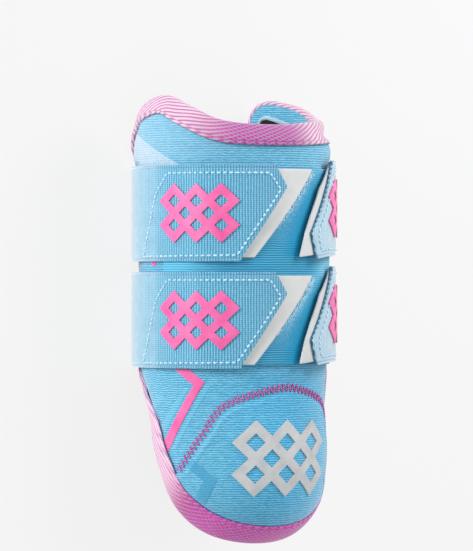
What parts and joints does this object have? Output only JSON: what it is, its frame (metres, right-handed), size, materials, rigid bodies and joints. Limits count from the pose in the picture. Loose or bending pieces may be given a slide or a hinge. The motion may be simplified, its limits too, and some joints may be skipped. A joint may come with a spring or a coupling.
{
  "type": "batter's elbow guard",
  "caption": "Padded open sleeve that wraps round the elbow and forearm, with a spoon-shaped elbow cap, a taped rim and elastic straps that close at the front.",
  "frame": {"origin": "on the resting plane, under the middle of the guard's outline seen from above", "axes": "+Y along the arm, from the elbow cap to the open upper end; +Z out of the guard's front, away from the flat strap backs it lies on; +X to the right of someone facing the front with the open end up"},
  "size_m": [0.1114, 0.237, 0.0921],
  "materials": {
    "body_fabric": "light blue, fine corded knit",
    "edge_tape": "pink and pale diagonal twill",
    "lining_fabric": "near-black brushed lining",
    "loop_fabric": "blue velvety loop pile",
    "elastic": "light blue ribbed elastic",
    "tab_film": "smooth off-white film",
    "pink_rubber": "pink, satin, moulded",
    "grey_rubber": "pale grey, satin, moulded"
  },
  "bodies": {
    "root": {"shell": "body_fabric", "edge_binding": "edge_tape", "inner_pad": "lining_fabric", "loop_panel": "loop_fabric", "elbow_panel": "body_fabric", "upper_strap": "elastic", "lower_strap": "elastic", "upper_left_tab": "tab_film", "upper_right_tab": "tab_film", "lower_left_tab": "tab_film", "lower_right_tab": "tab_film", "upper_left_patch": "pink_rubber", "upper_right_patch": "pink_rubber", "lower_left_patch": "pink_rubber", "lower_right_patch": "pink_rubber", "elbow_patch": "grey_rubber", "left_chevron": "pink_rubber", "right_chevron": "pink_rubber"}
  },
  "joints": []
}
